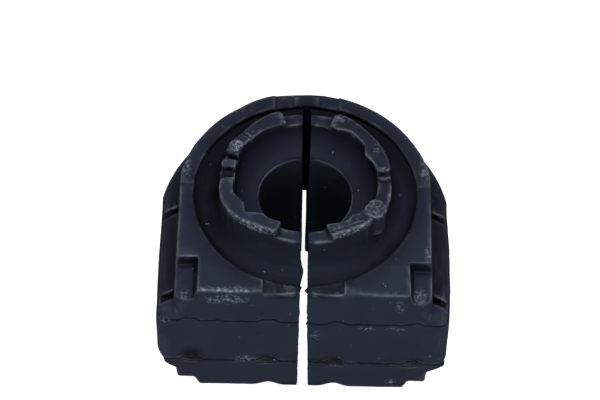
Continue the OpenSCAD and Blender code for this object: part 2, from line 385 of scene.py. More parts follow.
def pip_form(p, s):
    """Round marks on the rim with a raised edge, left by the mould."""
    form = np.full_like(p.x, AWAY)
    for x, y, r, top in PIPS:
        away = np.hypot(p.x - x, p.y - y)
        crater = 0.3 * bump(away, r - 0.85, 0.3)
        post = meet(away - r, p.z - top + crater, 0.35)
        form = np.minimum(form, meet(post, s.end_z + 3 - p.z, 0.5))
    return form


def bore_tool(p, s):
    """Bore with the bowl of the funnel at each end, and a fine raised lip where they meet."""
    inner = rim_radius(p, RIM_INNER, s.funnel_r)
    inner = s.funnel_r + (inner - s.funnel_r) * ramp(p.h, 23.5, 27.5)
    lip = BORE_LIP * bump(p.r, s.bore_r + 0.2, 0.25)
    bowl = meet(p.r - inner, s.bore_z + lip - p.h, 5.2)
    return np.minimum(p.r - s.bore_r, bowl)


def slit_tool(p, s):
    """Ragged slit through the base, and the moulded slot on the other side."""
    height = ramp(p.z, -s.end_z, s.end_z)
    gap = (s.slit_bottom + (s.slit_top - s.slit_bottom) * height) / 2
    x = p.x - SLIT_SHIFT * (1 - height)
    side = np.sign(x)
    ragged = 0.04 * lattice(p.y / 1.3, p.z / 1.3, side, 7) + 0.07 * lattice(p.y / 0.6, p.z / 0.6, side, 8)
    burr = 0.0
    for way, y, z, reach, size in BURRS:
        near = np.exp(-((p.y - y) ** 2 + (p.z - z) ** 2) / (size * size))
        burr = burr + np.where(side == way, reach * near, 0)
    front = meet(np.abs(x) - gap + ragged + burr, p.y + 5, 0.1)
    slot_gap = (s.back_bottom + (s.back_top - s.back_bottom) * height) / 2
    reach = np.where(p.z > HINGE_LOW, p.y - s.hinge_y, -5.0)
    back = np.maximum(np.maximum(np.abs(p.x) - slot_gap, reach), 5 - p.y)
    return np.minimum(front, back)


def bushing_form(p, s):
    """Signed distance of the whole moulded block, negative inside."""
    side, back, base = outer_walls(p, s)
    form = join(block_form(p, s), band_form(p, s, side, back), 0.35)
    form = meet(form, base, base_rounding(p, s))
    stock = meet(p.r - s.dish_r + 0.5, p.h - s.end_z - 4.6, 0.1)
    form = np.minimum(form, stock)
    form = cut(form, dish_tool(p, s), 0.45)
    form = cut(form, runout_tool(p, s), 0.25)
    form = cut(form, notch_tool(p, s), 0.25)
    form = np.minimum(form, rim_form(p, s))
    form = join(form, pip_form(p, s), 0.12)
    form = cut(form, bore_tool(p, s), 0.25)
    return cut(form, slit_tool(p, s), 0.28)


def torn_places(p, s):
    """Where the skin is torn or blistered, from nothing to one."""
    below = s.rim_z + s.rim_step - p.z - p.y * math.sin(s.rim_lean)
    outside = p.r - rim_radius(p, RIM_OUTER, s.collar_r)
    wall = ramp(outside, -0.7, -0.1) * plateau(below, 0.8, 1.1, 0.3)
    torn = wall * np.maximum(plateau(p.turn, 233, 18, 3), plateau(p.turn, 302, 15, 2))
    rim_top = ramp(1.2 - below, 0, 0.6) * ramp(p.r, 14.5, 15.5) * ramp(0.8 - outside, 0, 0.4)
    ends = bump(p.turn, 109.5, 2.6) + bump(p.turn, 68, 3.0) + bump(p.turn, 4, 2.2)
    low_edge = plateau(p.turn, 343, 6, 2) * ramp(outside, -1.0, -0.4) * ramp(6 - below, 0, 1)
    torn = torn + 0.7 * ends * rim_top + 0.7 * low_edge
    for x, y, r, height in PIPS:
        over = ramp(r + 0.6 - np.hypot(p.x - x, p.y - y), 0, 0.6)
        torn = torn + 0.7 * over * ramp(p.z, height - 1.6, height - 0.8)
    return np.clip(torn, 0, 1)


def lattice(x, y, z, seed):
    """Smooth noise between minus one and one with features of size one, the same on each run."""
    cell = [np.floor(v).astype(np.int64) for v in (x, y, z)]
    part = [v - c for v, c in zip((x, y, z), cell)]
    part = [v * v * (3 - 2 * v) for v in part]
    total = 0.0
    for corner in np.ndindex(2, 2, 2):
        code = seed * 7919
        weight = 1.0
        for c, v, step, prime in zip(cell, part, corner, (73856093, 19349663, 83492791)):
            code = code ^ ((c + step) * prime)
            weight = weight * (v if step else 1 - v)
        code = ((code ^ (code >> 13)) * 1274126177) & 0x7fffffff
        total = total + weight * (code / 0x3fffffff - 1)
    return total


def skin(p, s):
    """The form with its soft unevenness, and rough where it is torn."""
    form = bushing_form(p, s) - 0.04 * waves(p, 11.0, 3) - 0.02 * waves(p, 3.6, 5)
    torn = torn_places(p, s)
    at = np.nonzero((torn > 0.02) & (np.abs(form) < 1.5))
    if len(at[0]):
        x, y, z = p.x[at], p.y[at], p.z[at]
        rough = 0.6 * lattice(x / 0.8, y / 0.8, z / 0.8, 1) + 0.4 * lattice(x / 0.4, y / 0.4, z / 0.4, 2)
        form[at] -= 0.3 * torn[at] * rough
    return form


def sample_form(s):
    """Values of the skin on a regular grid round the block, worked out only in the cells near it."""
    step, side = s.mesh_step, 4
    low = np.array(LOW) / MM - 3 * step - 0.9
    blocks = np.ceil(((np.array(HIGH) / MM + 3 * step + 0.9) - low) / (step * side)).astype(int)
    start = np.stack(np.meshgrid(*[np.arange(n) * side for n in blocks], indexing="ij"), -1).reshape(-1, 3)
    middle = skin(Grid(*(low + step * (start + (side - 1) / 2)).T), s)
    near = np.abs(middle) < step * side * 1.15 + 0.3
    values = np.empty((len(start), side ** 3), np.float32)
    values[:] = middle[:, None]
    inner = np.stack(np.meshgrid(*[np.arange(side)] * 3, indexing="ij"), -1).reshape(-1, 3)
    for part in np.array_split(np.nonzero(near)[0], max(1, near.sum() // 4000)):
        place = low + step * (start[part][:, None, :] + inner[None])
        values[part] = skin(Grid(*place.reshape(-1, 3).T), s).reshape(-1, side ** 3)
    values = values.reshape(*blocks, side, side, side).transpose(0, 3, 1, 4, 2, 5)
    return np.ascontiguousarray(values).reshape(*(blocks * side)), low


CORNERS = [(0, 0, 0), (1, 0, 0), (0, 1, 0), (1, 1, 0), (0, 0, 1), (1, 0, 1), (0, 1, 1), (1, 1, 1)]
EDGES = [(0, 1), (2, 3), (4, 5), (6, 7), (0, 2), (1, 3), (4, 6), (5, 7), (0, 4), (1, 5), (2, 6), (3, 7)]


def draw_surface(values, low, step):
    """Quad mesh at the zero level: a point in each crossed cell and a face for each crossed edge."""
    inside = values < 0
    shape = [n - 1 for n in values.shape]
    count = np.zeros(shape, np.int8)
    for i, j, k in CORNERS:
        count += inside[i:shape[0] + i, j:shape[1] + j, k:shape[2] + k]
    cells = np.argwhere((count > 0) & (count < 8))
    number = np.full(shape, -1, np.int64)
    number[tuple(cells.T)] = np.arange(len(cells))
    corner_values = np.stack([values[tuple((cells + c).T)] for c in CORNERS], 1).astype(float)
    total = np.zeros((len(cells), 3))
    hits = np.zeros(len(cells))
    for a, b in EDGES:
        va, vb = corner_values[:, a], corner_values[:, b]
        crossed = (va < 0) != (vb < 0)
        part = np.where(crossed, va / np.where(crossed, va - vb, 1), 0)[:, None]
        place = np.array(CORNERS[a]) + part * (np.array(CORNERS[b]) - np.array(CORNERS[a]))
        total += np.where(crossed[:, None], place, 0)
        hits += crossed
    points = low + step * (cells + total / hits[:, None])
    quads = []
    for axis in range(3):
        u, v = (axis + 1) % 3, (axis + 2) % 3
        first = [slice(1, n) for n in shape]
        second = list(first)
        first[axis] = slice(0, shape[axis])
        second[axis] = slice(1, shape[axis] + 1)
        here, there = inside[tuple(first)], inside[tuple(second)]
        for flip, mask in ((False, here & ~there), (True, ~here & there)):
            at = np.argwhere(mask)
            at[:, u] += 1
            at[:, v] += 1
            ring = []
            for du, dv in ((-1, -1), (0, -1), (0, 0), (-1, 0)):
                cell = at.copy()
                cell[:, u] += du
                cell[:, v] += dv
                ring.append(number[tuple(cell.T)])
            ring = np.stack(ring, 1)
            quads.append(ring[:, ::-1] if flip else ring)
    return points, np.concatenate(quads)


def slope_at(points, s, reach, value=None):
    """Gradient of the skin at each point, to one side where its value is known."""
    ways = np.eye(3) * reach
    ahead = np.stack([skin(Grid(*(points + way).T), s) for way in ways], 1)
    if value is not None:
        return (ahead - value[:, None]) / reach
    return (ahead - np.stack([skin(Grid(*(points - way).T), s) for way in ways], 1)) / (2 * reach)


def settle(points, s, rounds):
    """Moves points along the slope of the skin until they lie on it."""
    for _ in range(rounds):
        value = skin(Grid(*points.T), s)
        slope = slope_at(points, s, 0.02, value)
        size = np.maximum((slope ** 2).sum(1), 0.25)
        points = points - np.clip(value / size, -0.12, 0.12)[:, None] * slope
    return points


def crispen(points, faces, s):
    """Moves points near an edge onto it, where the planes of the points around them meet."""
    slope = slope_at(points, s, 0.05, 0.0 * points[:, 0])
    normals = slope / np.maximum(np.linalg.norm(slope, axis=1), 1e-6)[:, None]
    square = 0.05 * np.tile(np.eye(3), (len(points), 1, 1))
    pull = np.zeros((len(points), 3))
    for a, b in ((0, 1), (1, 2), (2, 3), (3, 0), (1, 0), (2, 1), (3, 2), (0, 3)):
        here, there = faces[:, a], faces[:, b]
        n = normals[there]
        np.add.at(square, here, n[:, :, None] * n[:, None, :])
        np.add.at(pull, here, n * ((points[there] - points[here]) * n).sum(1)[:, None])
    shift = np.linalg.solve(square, pull[:, :, None])[:, :, 0]
    size = np.linalg.norm(shift, axis=1)[:, None]
    return points + shift * np.minimum(1, 0.6 * s.mesh_step / np.maximum(size, 1e-6))


def make_object(name, points, faces):
    """Mesh object from arrays of points in millimetres and quads."""
    mesh = bpy.data.meshes.new(name)
    mesh.vertices.add(len(points))
    mesh.vertices.foreach_set("co", (points * MM).ravel())
    mesh.loops.add(faces.size)
    mesh.loops.foreach_set("vertex_index", faces.ravel())
    mesh.polygons.add(len(faces))
    mesh.polygons.foreach_set("loop_start", np.arange(0, faces.size, faces.shape[1]))
    mesh.update(calc_edges=True)
    mesh.validate()
    made = bpy.data.objects.new(name, mesh)
    bpy.context.scene.collection.objects.link(made)
    return made


def thin_out(made, limit):
    """Fewer triangles on plain walls, with the fine edges kept."""
    triangles = sum(len(face.vertices) - 2 for face in made.data.polygons)
    modifier = made.modifiers.new("thin_out", "DECIMATE")
    modifier.ratio = min(1.0, limit / triangles)
    graph = bpy.context.evaluated_depsgraph_get()
    result = bpy.data.meshes.new_from_object(made.evaluated_get(graph))
    whole = made.data
    made.modifiers.clear()
    made.data = result
    bpy.data.meshes.remove(whole)
    result.name = made.name


def occlusion(points, normals, s):
    """How much of the open air over each point the block itself takes up."""
    shut = np.zeros(len(points))
    for reach in (1.2, 2.5, 5.0, 9.0):
        room = bushing_form(Grid(*(points + reach * normals).T), s)
        shut += np.clip(1 - room / reach, 0, 1) / 4
    return shut


def edge_sharpness(points, s):
    """How convex the block is at each point, on a scale of half a millimetre."""
    reach = 0.45
    steps = [way * reach * unit for unit in np.eye(3) for way in (-1, 1)]
    around = sum(bushing_form(Grid(*(points + step).T), s) for step in steps)
    return np.clip((around / 6 - bushing_form(Grid(*points.T), s)) / reach * 3.2, 0, 1)


def dish_shade(p, normals, s, front):
    """Painted shade of the dish, the collar and the bowl. The tops of the rim get less of it, except
    toward the back and the right.
    """
    # In the collar the height doesn't count.
    collar = 20 * (p.r < s.dish_r - 3)
    ring = ramp(s.dish_r - 0.1 - p.r, 0, 0.3) * ramp(s.end_z - 0.25 - p.h + collar, 0, 0.3)
    depth = 0.38 + front * 0.22 * ramp(p.r, 21.5, 25) + 0.15 * ramp(-p.x, 15, 20)
    depth = depth + 0.2 * ramp(-p.x, 14, 18) * ramp(p.y, -2, 8)
    depth = depth + 0.4 * ramp(p.r, s.dish_r - 4.5, s.dish_r - 1) * ramp(p.y, -22, -6)
    depth = depth + 0.5 * ramp(p.y, 2, 16) * ramp(p.r, s.collar_r - 1, s.collar_r)
    level = p.h + np.where(p.upper, p.y * math.sin(s.rim_lean), 0)
    rim_top = ramp(level, s.rim_z - 2.6, s.rim_z - 1.8) * ramp(np.abs(normals[:, 2]), 0.5, 0.75)
    gap = plateau(p.turn, 181.5, 5.5, 1.0) * p.upper * ramp(p.r, s.funnel_r - 0.5, s.funnel_r)
    ring = ring * (depth + 0.35 * gap) * (1 - rim_top * (1 - gap))
    # Painted shade on the tops of the rim toward the back and the right, where less light falls.
    far = np.minimum(0.2 * ramp(p.x, 4, 12) + 0.3 * ramp(p.y, 8, 16), 0.33)
    return ring + far * rim_top * (p.r < 23)


def wall_shade(p, s):
    """Painted shade in the run-outs, on the shoulders, in their cross slots and in the notches."""
    runout = ramp(s.runout_w - np.abs(p.x), 0, 0.3) * ramp(-p.y, 23, 24)
    runout = runout * ramp(p.h, s.end_z - 2.5, s.end_z - 2) * 0.45
    out = np.maximum(np.abs(p.x) - s.side_w, (p.r - s.arch_r) * (p.y > 0))
    shoulder = 0.6 * ramp(out, 0.3, 0.9) * ramp(p.h, s.parting_z + 0.6, s.parting_z + 1.4)
    shoulder = shoulder * ramp(p.y, -26, -24)
    slots = sum(plateau(p.y, y, s.slot_w / 2 + 0.1, 0.2) for y in SLOTS) * ramp(out, 0.5, 0.9)
    slots = 0.95 * slots * ramp(p.h, s.slot_floor_z - 0.4, s.slot_floor_z - 0.1) * (p.h < s.shoulder_z)
    notch = ramp(np.abs(p.x), s.notch_x - 1, s.notch_x) * ramp(-p.y, s.notch_y - 1.4, s.notch_y - 0.6)
    notch = notch * ramp(p.h, s.end_z - s.notch_depth + 0.1, s.end_z - s.notch_depth + 0.6)
    notch = 0.58 * notch * ramp(s.end_z - 0.35 - p.h, 0, 0.3)
    return np.max([runout, shoulder, slots, notch], 0)


def line_shade(p, s):
    """Painted shade in the parting grooves, and in the hollow in the lower one beside the slit."""
    low, off, lift = parting_lines(p, s)
    groove = np.maximum(bump(off, 0.35, 0.36), 0.7 * lift * bump(low, -0.5, 0.3))
    filled = plateau(p.x, 7.4, 3.2, 0.8) * ramp(low, -0.7, -0.2) * ramp(0.4 - off, 0, 0.6)
    line = np.where(p.upper, bump(off, 0.15, 0.32), np.maximum(groove, filled))
    beyond = np.maximum(np.abs(p.x) - s.band_w, -p.y - s.base_y)
    beyond = np.maximum(beyond, p.r - s.band_r - AWAY * (p.y < 0))
    return 0.95 * line * (beyond > -1.2)


def painted_shade_masks(p, normals, s):
    """Painted shade of the skin, and where it lies at the front of the dish."""
    front = ramp(-p.y, 3, 15) * (p.r > s.funnel_r)
    ring = dish_shade(p, normals, s, front)
    dark = np.max([ring, wall_shade(p, s), line_shade(p, s)], 0)
    return np.clip(dark, 0, 1), front * (ring > 0)


FLOAT, VECTOR = "NodeSocketFloat", "NodeSocketVector"


def store(made, name, values):
    """Keeps one number for each point of the mesh under a name that the material reads."""
    layer = made.data.attributes.new(name, "FLOAT", "POINT")
    layer.data.foreach_set("value", np.asarray(values, np.float32))


def add_node(tree, kind, place, **values):
    """Node with some of its settings."""
    node = tree.nodes.new(kind)
    node.location = place
    for name, value in values.items():
        setattr(node, name, value)
    return node


def math_node(tree, operation, a, b, place, c=None, clamp=False):
    """Math node from sockets or numbers."""
    node = add_node(tree, "ShaderNodeMath", place, operation=operation, use_clamp=clamp)
    for socket, value in zip(node.inputs, (a, b, c)):
        if value is not None:
            link(tree, value, socket)
    return node.outputs[0]


def link(tree, source, target):
    """Links a socket, or sets a number or colour."""
    if hasattr(source, "links"):
        tree.links.new(source, target)
    else:
        target.default_value = source


def noise_value(tree, vector, scale, detail, place, roughness=0.5, distortion=0.0):
    """Noise with a size given in features for each unit of the vector."""
    node = add_node(tree, "ShaderNodeTexNoise", place)
    values = {"Scale": scale, "Detail": detail, "Roughness": roughness, "Distortion": distortion}
    for name, value in values.items():
        link(tree, value, node.inputs[name])
    tree.links.new(vector, node.inputs["Vector"])
    return node.outputs["Fac"]


def spread(tree, value, low, high, place, to_low=0.0, to_high=1.0):
    """Stretches the range between low and high."""
    node = add_node(tree, "ShaderNodeMapRange", place)
    for name, number in (("From Min", low), ("From Max", high), ("To Min", to_low), ("To Max", to_high)):
        link(tree, number, node.inputs[name])
    tree.links.new(value, node.inputs["Value"])
    return node.outputs["Result"]


def new_group(name, inputs, outputs):
    """Empty shader node group with named sockets, and its ends."""
    group = bpy.data.node_groups.new(name, "ShaderNodeTree")
    for label, kind, value in inputs:
        socket = group.interface.new_socket(label, in_out="INPUT", socket_type=kind)
        if value is not None:
            socket.default_value = value
    for label, kind in outputs:
        group.interface.new_socket(label, in_out="OUTPUT", socket_type=kind)
    start = add_node(group, "NodeGroupInput", (-1400, 0))
    end = add_node(group, "NodeGroupOutput", (600, 0))
    return group, start.outputs, end.inputs


def grain_group():
    """Fine grain, orange peel and mottling of moulded rubber."""
    group, start, end = new_group("Rubber grain", [
        ("Place", VECTOR, None), ("Grain size", FLOAT, 0.6), ("Mottling", FLOAT, 0.5)], [
        ("Tone", FLOAT), ("Roughness", FLOAT), ("Height", FLOAT)])
    place = start["Place"]
    density = math_node(group, "DIVIDE", 1.0, start["Grain size"], (-1200, 200))
    fine = noise_value(group, place, density, 3.0, (-1000, 300))
    peel = noise_value(group, place, 0.55, 2.0, (-1000, 100), 0.6)
    cloud = noise_value(group, place, 0.11, 4.0, (-1000, -100), 0.65, 0.4)
    streak = noise_value(group, place, 1.4, 4.0, (-1000, -300), 0.7)
    cloud = spread(group, cloud, 0.3, 0.7, (-800, -100), -1.0, 1.0)
    streak = spread(group, streak, 0.3, 0.7, (-800, -300), -0.5, 0.5)
    uneven = math_node(group, "ADD", cloud, streak, (-600, -200))
    uneven = math_node(group, "MULTIPLY", uneven, start["Mottling"], (-400, -200))
    link(group, math_node(group, "MULTIPLY_ADD", uneven, 0.16, (-200, -200), 1.0), end["Tone"])
    link(group, math_node(group, "MULTIPLY_ADD", uneven, 0.07, (-200, -400), 0.0), end["Roughness"])
    peel = math_node(group, "MULTIPLY", peel, 1.6, (-600, 100))
    link(group, math_node(group, "ADD", fine, peel, (-200, 200)), end["Height"])
    return group


def dust_and_highlight_group():
    """Painted highlights on convex edges, paler torn places, pale specks, and talc in ragged patches, some
    of them painted highlights.
    """
    group, start, end = new_group("Pale dust and painted highlights", [
        ("Place", VECTOR, None), ("Edge highlight", FLOAT, 0.0), ("Torn", FLOAT, 0.0),
        ("Patches", FLOAT, 0.0), ("Wear and edge highlight", FLOAT, 0.5), ("Talc and highlight", FLOAT, 0.5)], [("Mask", FLOAT)])
    place = start["Place"]
    noise = noise_value(group, place, 1.25, 4.0, (-1000, 300), 0.65, 0.2)
    flecks = spread(group, noise, 0.48, 0.62, (-800, 300))
    noise = noise_value(group, place, 0.23, 3.0, (-1000, 100))
    broad = spread(group, noise, 0.4, 0.62, (-800, 100))
    broad = math_node(group, "MULTIPLY_ADD", broad, 0.8, (-600, 100), 0.2)
    # Painted highlight on convex edges, broken up by noise.
    edge = math_node(group, "MULTIPLY", start["Edge highlight"], broad, (-400, 100))
    patchy = math_node(group, "MULTIPLY_ADD", flecks, 0.9, (-600, 300), 0.1)
    torn = math_node(group, "MULTIPLY", start["Torn"], patchy, (-400, 300))
    worn = math_node(group, "ADD", edge, torn, (-200, 200))
    worn = math_node(group, "MULTIPLY", worn, start["Wear and edge highlight"], (0, 200))
    talc_and_highlight = math_node(group, "MULTIPLY", start["Patches"], flecks, (-400, -100))
    talc_and_highlight = math_node(group, "MULTIPLY", talc_and_highlight, start["Talc and highlight"], (-200, -100))
    noise = noise_value(group, place, 1.15, 1.0, (-1000, -300))
    specks = spread(group, noise, 0.775, 0.81, (-800, -300), 0.0, 0.5)
    total = math_node(group, "ADD", worn, talc_and_highlight, (200, 100))
    total = math_node(group, "ADD", total, specks, (400, 100), clamp=True)
    link(group, total, end["Mask"])
    return group


def patch_group(name, spots):
    """Soft blobs, one for each mark of a list."""
    group, start, end = new_group(name, [("Place", VECTOR, None)], [("Patches", FLOAT)])
    total = 0.0
    for row, (x, y, z, wide, deep, high, strength) in enumerate(spots):
        away = add_node(group, "ShaderNodeVectorMath", (-1100, -160 * row), operation="SUBTRACT")
        link(group, start["Place"], away.inputs[0])
        away.inputs[1].default_value = (x, y, z)
        scaled = add_node(group, "ShaderNodeVectorMath", (-900, -160 * row), operation="DIVIDE")
        link(group, away.outputs[0], scaled.inputs[0])
        scaled.inputs[1].default_value = (wide, deep, high)
        size = add_node(group, "ShaderNodeVectorMath", (-700, -160 * row), operation="LENGTH")
        link(group, scaled.outputs[0], size.inputs[0])
        blob = spread(group, size.outputs["Value"], 1.0, 0.2, (-500, -160 * row), 0.0, strength)
        total = math_node(group, "MAXIMUM", total, blob, (-200, -160 * row))
    link(group, total, end["Patches"])
    return group


def rubber_material(name, finish, groups, base, dark, wear, bump_height, gloss):
    """Moulded rubber with painted shade in hollows and grooves, painted highlights on edges, and paler
    talc, scuffs and torn places.
    """
    material = bpy.data.materials.new(name)
    material.use_nodes = True
    tree = material.node_tree
    shader = tree.nodes["Principled BSDF"]
    place = add_node(tree, "ShaderNodeTexCoord", (-1800, 0)).outputs["Object"]
    scale = add_node(tree, "ShaderNodeVectorMath", (-1600, 0), operation="SCALE")
    link(tree, place, scale.inputs[0])
    scale.inputs["Scale"].default_value = 1 / MM
    place = scale.outputs[0]
    made = {}
    for row, (key, group) in enumerate(groups.items()):
        made[key] = add_node(tree, "ShaderNodeGroup", (-1200, 300 - 300 * row), node_tree=group)
        link(tree, place, made[key].inputs["Place"])
    marks = {}
    for row, key in enumerate(("hollow", "edge", "torn")):
        node = add_node(tree, "ShaderNodeAttribute", (-1500, -200 - 200 * row), attribute_name=key)
        marks[key] = node.outputs["Fac"]
    made["grain"].inputs["Grain size"].default_value = finish.grain / MM
    made["dust_and_highlights"].inputs["Wear and edge highlight"].default_value = wear
    made["dust_and_highlights"].inputs["Talc and highlight"].default_value = finish.talc_and_highlight
    link(tree, marks["edge"], made["dust_and_highlights"].inputs["Edge highlight"])
    link(tree, marks["torn"], made["dust_and_highlights"].inputs["Torn"])
    link(tree, made["talc_and_highlight"].outputs["Patches"], made["dust_and_highlights"].inputs["Patches"])
    # Painted shade: the hollow attribute and the shade patches mix in the dark colour.
    shaded = math_node(tree, "MAXIMUM", marks["hollow"], made["shade"].outputs["Patches"], (-1000, 100))
    shade = mix_colour(tree, shaded, base, dark, (-800, 100))
    toned = add_node(tree, "ShaderNodeVectorMath", (-600, 100), operation="SCALE")
    link(tree, shade, toned.inputs[0])
    link(tree, made["grain"].outputs["Tone"], toned.inputs["Scale"])
    # Pale talc, torn places and specks, with painted highlights on edges and in some patches.
    dust_and_highlight_mask = made["dust_and_highlights"].outputs["Mask"]
    skin_colour = mix_colour(tree, dust_and_highlight_mask, toned.outputs[0], finish.pale, (-400, 100))
    link(tree, skin_colour, shader.inputs["Base Color"])
    rough = math_node(tree, "ADD", made["grain"].outputs["Roughness"], finish.roughness, (-600, -200))
    rough = math_node(tree, "MULTIPLY_ADD", dust_and_highlight_mask, 0.3, (-400, -200), rough)
    link(tree, rough, shader.inputs["Roughness"])
    relief = add_node(tree, "ShaderNodeBump", (-400, -400))
    relief.inputs["Strength"].default_value = 1.0
    relief.inputs["Distance"].default_value = bump_height * MM
    link(tree, made["grain"].outputs["Height"], relief.inputs["Height"])
    link(tree, relief.outputs["Normal"], shader.inputs["Normal"])
    shader.inputs["Specular IOR Level"].default_value = gloss
    return material


def mix_colour(tree, factor, a, b, place):
    """Mix of two colours."""
    node = add_node(tree, "ShaderNodeMix", place, data_type="RGBA")
    link(tree, factor, node.inputs["Factor"])
    for value, socket in ((a, node.inputs[6]), (b, node.inputs[7])):
        link(tree, value, socket)
    return node.outputs[2]


# Painted shade, then talc and painted highlights: place and half size along x, y and z in millimetres, and
# strength.
SHADE = [
    (-26.2, -28.6, -6.0, 4.0, 3.0, 5.0, 1.0), (-8.2, -28.8, -6.6, 3.4, 3.0, 2.4, 0.8),
    (3.2, -28.8, -7.6, 3.4, 3.0, 1.9, 1.0), (7.4, -28.8, -7.2, 4.2, 3.0, 2.8, 1.0),
    (26.9, -28.8, -6.9, 2.6, 3.0, 2.2, 0.8),
    (-5.4, -25.8, 19.2, 7.0, 4.2, 2.6, 0.85), (5.4, -25.8, 19.2, 7.0, 4.2, 2.6, 0.75),
    (-32.6, -23.9, 10.4, 5.0, 1.7, 2.6, 0.95), (32.6, -23.9, 10.4, 5.0, 1.7, 2.6, 0.95),
    (-33.0, 0.4, 10.4, 5.0, 1.7, 2.6, 0.95), (33.0, 0.4, 10.4, 5.0, 1.7, 2.6, 0.95),
    (-18.4, -0.7, 26.6, 4.2, 2.8, 2.8, 1.0),
]
# Talc, and painted highlights on some rounded corners and edges.
TALC_AND_HIGHLIGHTS = [
    (-18.0, -28.4, 16.9, 6.2, 2.0, 2.1, 1.0), (-16.5, -28.0, 19.9, 7.5, 1.4, 0.8, 1.0),
    (-27.4, -27.0, 17.2, 1.6, 2.6, 1.4, 0.8), (-22.3, -27.9, 20.0, 2.0, 1.4, 0.6, 0.9),
    (-13.5, -29.0, -7.0, 2.8, 1.5, 2.0, 0.9), (-2.9, -28.7, 12.0, 0.9, 1.5, 0.6, 0.9),
    (22.4, -28.5, 15.4, 1.5, 1.5, 2.6, 0.6), (14.9, -29.0, 6.6, 2.4, 1.5, 1.3, 0.8),
    (22.0, -29.0, 6.9, 3.0, 1.5, 0.9, 0.6), (30.3, -29.0, -4.4, 0.9, 1.5, 0.5, 1.0),
    (23.0, -27.6, 20.0, 2.2, 1.6, 0.9, 0.8), (-3.8, -26.3, 18.6, 1.7, 1.6, 0.9, 0.7),
    (2.6, -27.2, 18.9, 1.6, 1.2, 0.9, 0.6), (-28.2, 7.0, 20.0, 1.4, 4.5, 1.5, 0.7),
    (28.0, 7.5, 20.0, 1.4, 4.5, 1.5, 0.6), (28.8, -16.5, 20.0, 1.0, 2.8, 1.0, 0.7),
    (26.9, -26.0, 16.9, 2.0, 3.2, 1.8, 0.8), (29.2, -28.4, -14.7, 1.9, 1.5, 1.0, 0.7),
    (3.1, -29.0, 3.8, 1.5, 1.5, 2.6, 0.5), (-32.2, -28.8, 8.6, 1.8, 1.8, 1.1, 0.7),
    (-16.3, 7.3, 29.0, 2.2, 2.2, 1.5, 0.8), (-4.6, 18.7, 26.9, 1.6, 2.0, 1.4, 0.9),
    (8.6, 17.4, 27.2, 2.0, 2.0, 1.4, 0.6), (18.7, 1.2, 28.8, 1.1, 1.1, 1.2, 0.9),
    (16.4, 7.6, 28.4, 1.0, 2.6, 1.2, 0.6), (-11.5, -16.6, 29.0, 7.5, 3.6, 1.4, 0.6),
    (10.6, -17.2, 29.4, 4.5, 2.6, 1.2, 0.6), (8.5, -5.0, 6.0, 4.5, 6.0, 1.0, 0.3),
    (21.6, -28.6, -16.9, 1.7, 1.5, 1.6, 0.9),
]


class BUSHING_OT_block(bpy.types.Operator):
    """Draw the moulded block and give it its rubber"""
    bl_idname = "bushing.block"
    bl_label = "Moulded block"

    def execute(self, context):
        finish = context.scene.bushing_finish
        s = Shape(context.scene.bushing_sizes, finish)
        values, low = sample_form(s)
        points, faces = draw_surface(values, low, s.mesh_step)
        points = settle(points, s, 1)
        points = settle(crispen(points, faces, s), s, 2)
        block = make_object("moulded_block", points, faces)
        thin_out(block, TRIANGLES)

        points = np.empty(3 * len(block.data.vertices), np.float32)
        block.data.vertices.foreach_get("co", points)
        points = points.reshape(-1, 3).astype(float) / MM
        slope = slope_at(points, s, 0.06)
        normals = slope / np.maximum(np.linalg.norm(slope, axis=1), 1e-6)[:, None]
        # Painted shade: occlusion and the shade masks go into the hollow attribute, which darkens the
        # skin.
        shut = occlusion(points, normals, s)
        p = Grid(*points.T)
        painted_shade_amount, front = painted_shade_masks(p, normals, s)
        enclosed = (1.1 - 0.9 * painted_shade_amount) * (1 - 0.75 * front) * shut
        store(block, "hollow", np.clip(painted_shade_amount + enclosed, 0, 1))
        # Painted highlight: the edge attribute makes convex edges paler, not at the slit and less at the
        # bore, the dish rim and the parting lines.
        plain = ramp(np.abs(p.x), 1.6, 2.6) * (1 - 0.5 * ramp(s.bore_r + 2 - p.r, 0, 0.5))
        plain = plain * (1 - 0.6 * bump(p.r, s.dish_r, 0.9) * (p.y > -24))
        plain = plain * (1 - 0.8 * bump(parting_lines(p, s)[1], -0.2, 1.0))
        store(block, "edge", edge_sharpness(points, s) * plain)
        store(block, "torn", torn_places(p, s))
        self.paint(block, finish, s)
        block.data.shade_smooth()
        block.data.normals_split_custom_set_from_vertices(normals)

        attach(block, "root")
        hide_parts("bushing")
        return {"FINISHED"}

    def paint(self, block, finish, s):
        """One rubber for the skin, one for the bore and one for the cut faces of the slit."""
        groups = {"grain": grain_group(), "dust_and_highlights": dust_and_highlight_group(), "talc_and_highlight": patch_group("Talc and highlight patches", TALC_AND_HIGHLIGHTS),
                  "shade": patch_group("Shade patches", SHADE)}
        block.data.materials.clear()
        # The hollow colour is painted shade; the wear share also sets the painted highlight on edges.
        for name, base, dark, wear, height, gloss in (
                ("moulded_rubber", finish.rubber, finish.hollow, finish.wear, 0.05, finish.gloss),
                ("bore_rubber", finish.bore, finish.bore, 0.4 * finish.wear, 0.03, 0.3 * finish.gloss),
                ("cut_rubber", finish.cut, finish.hollow, 0.6 * finish.wear, 0.12, finish.gloss)):
            rubber = rubber_material(name, finish, groups, base, dark, wear, height, gloss)
            block.data.materials.append(rubber)
        mesh = block.data
        middle = np.empty(3 * len(mesh.polygons), np.float32)
        facing = np.empty(3 * len(mesh.polygons), np.float32)
        mesh.polygons.foreach_get("center", middle)
        mesh.polygons.foreach_get("normal", facing)
        middle, facing = middle.reshape(-1, 3) / MM, facing.reshape(-1, 3)
        p = Grid(*middle.T)
        bore = (np.abs(p.r - s.bore_r) < 0.4) & (p.h < s.bore_z)
        cut_face = (np.abs(facing[:, 0]) > 0.7) & (np.abs(p.x) < 2.0) & ~bore
        index = np.where(bore, 1, np.where(cut_face, 2, 0)).astype(np.int32)
        mesh.polygons.foreach_set("material_index", index)


